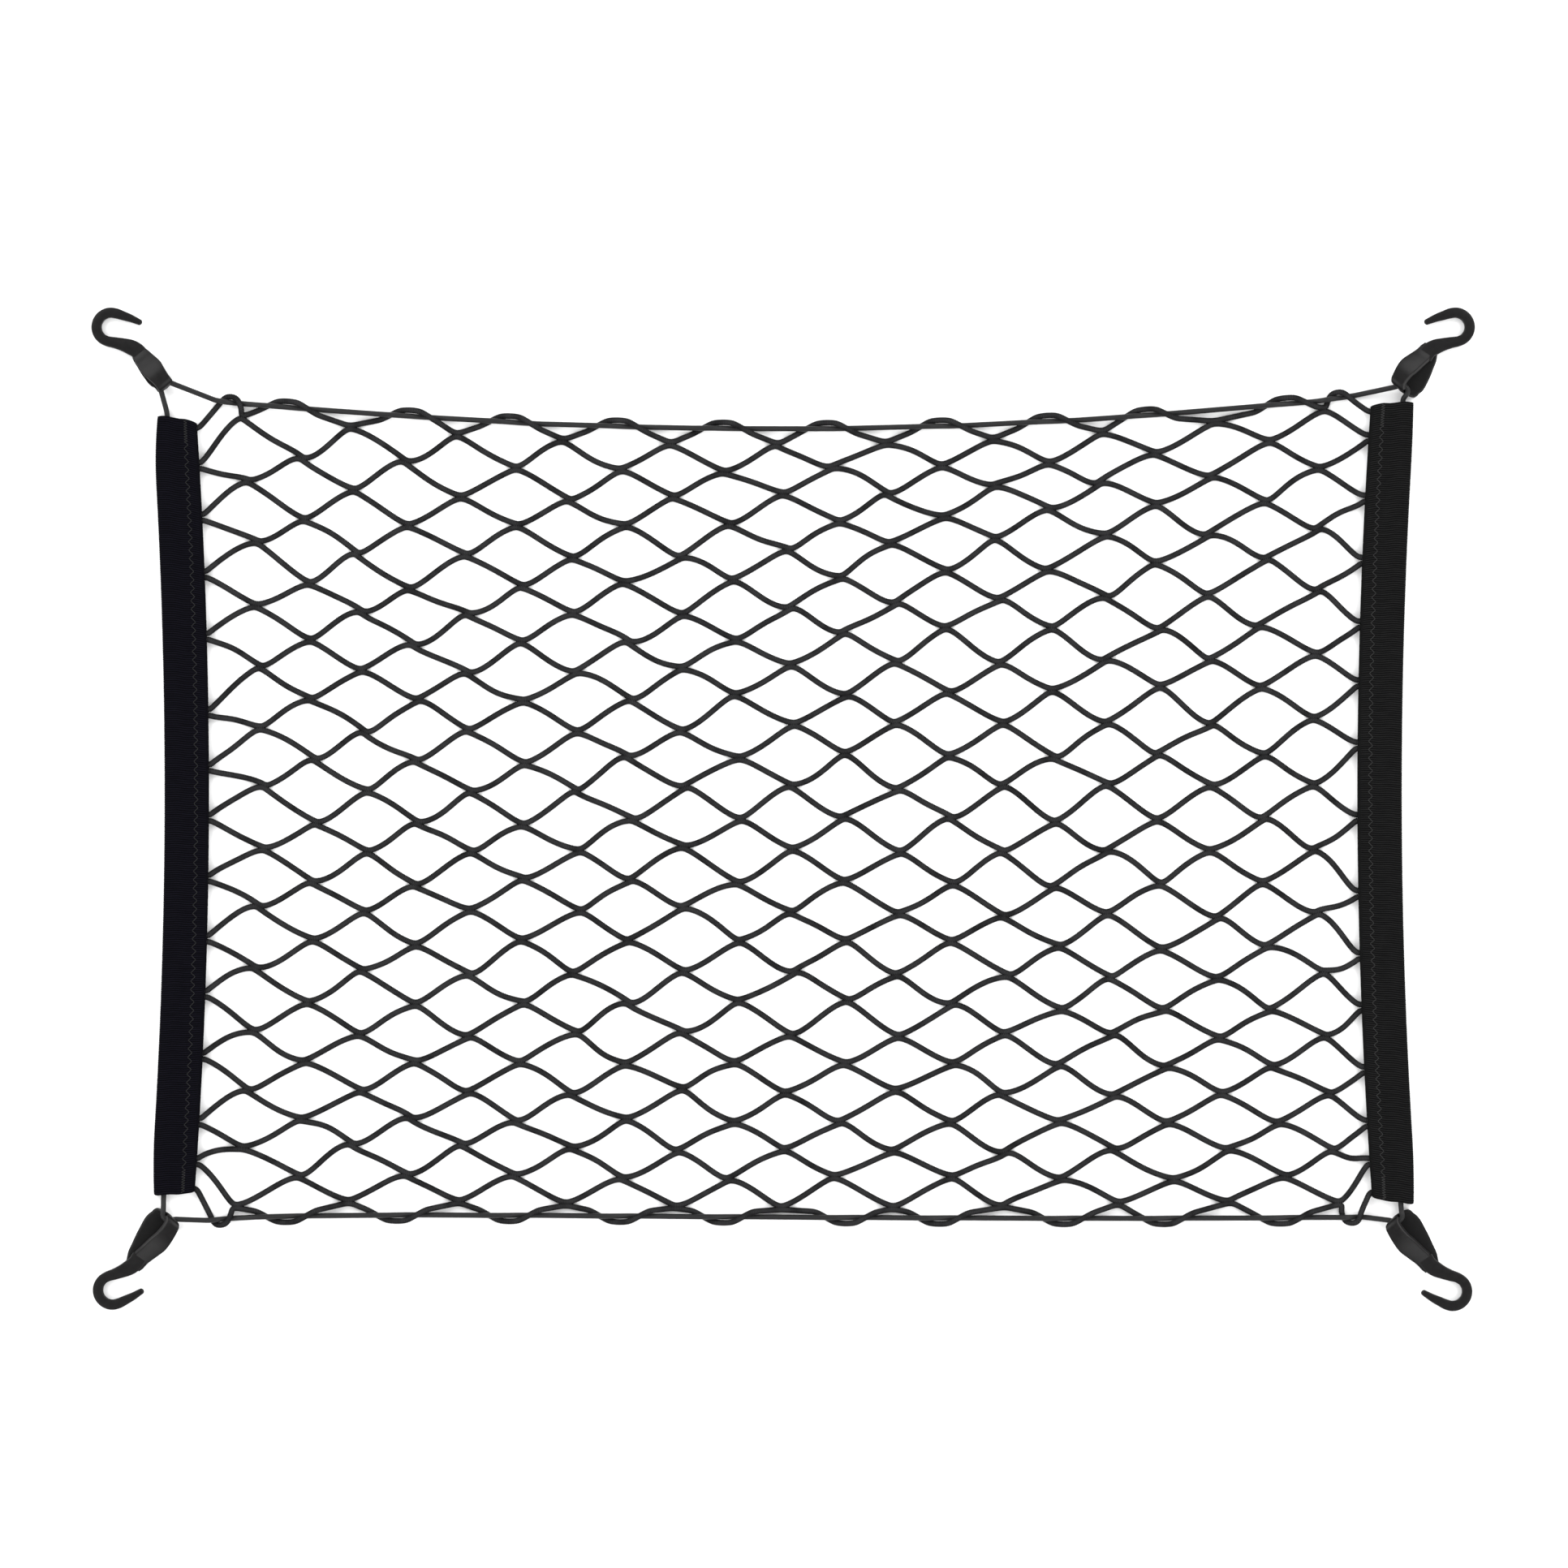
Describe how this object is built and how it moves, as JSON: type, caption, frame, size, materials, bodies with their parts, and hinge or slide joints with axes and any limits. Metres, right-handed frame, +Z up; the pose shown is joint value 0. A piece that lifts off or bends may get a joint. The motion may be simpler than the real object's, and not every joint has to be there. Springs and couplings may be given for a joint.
{
  "type": "cargo net",
  "caption": "Flat elastic diamond-mesh cargo net held by an edge cord between two webbing sleeves, with a moulded plastic hook at each corner.",
  "frame": {"origin": "on the surface the net lies on, under the middle of the whole object's box", "axes": "+X along the net from the left sleeve to the right one, +Y across it towards the edge at the top of the picture, +Z up, away from the surface"},
  "size_m": [0.7989, 0.5784, 0.012],
  "materials": {
    "elastic_mesh": "matte knitted elastic strands",
    "edge_elastic": "smooth satin covered elastic",
    "sleeve_webbing": "ribbed matte webbing",
    "hook_plastic": "soft gloss moulded"
  },
  "bodies": {
    "root": {"net": "elastic_mesh", "edge_cord": "edge_elastic", "sleeve_left": "sleeve_webbing", "sleeve_right": "sleeve_webbing", "hook_top_left": "hook_plastic", "hook_top_right": "hook_plastic", "hook_bottom_right": "hook_plastic", "hook_bottom_left": "hook_plastic"}
  },
  "joints": []
}
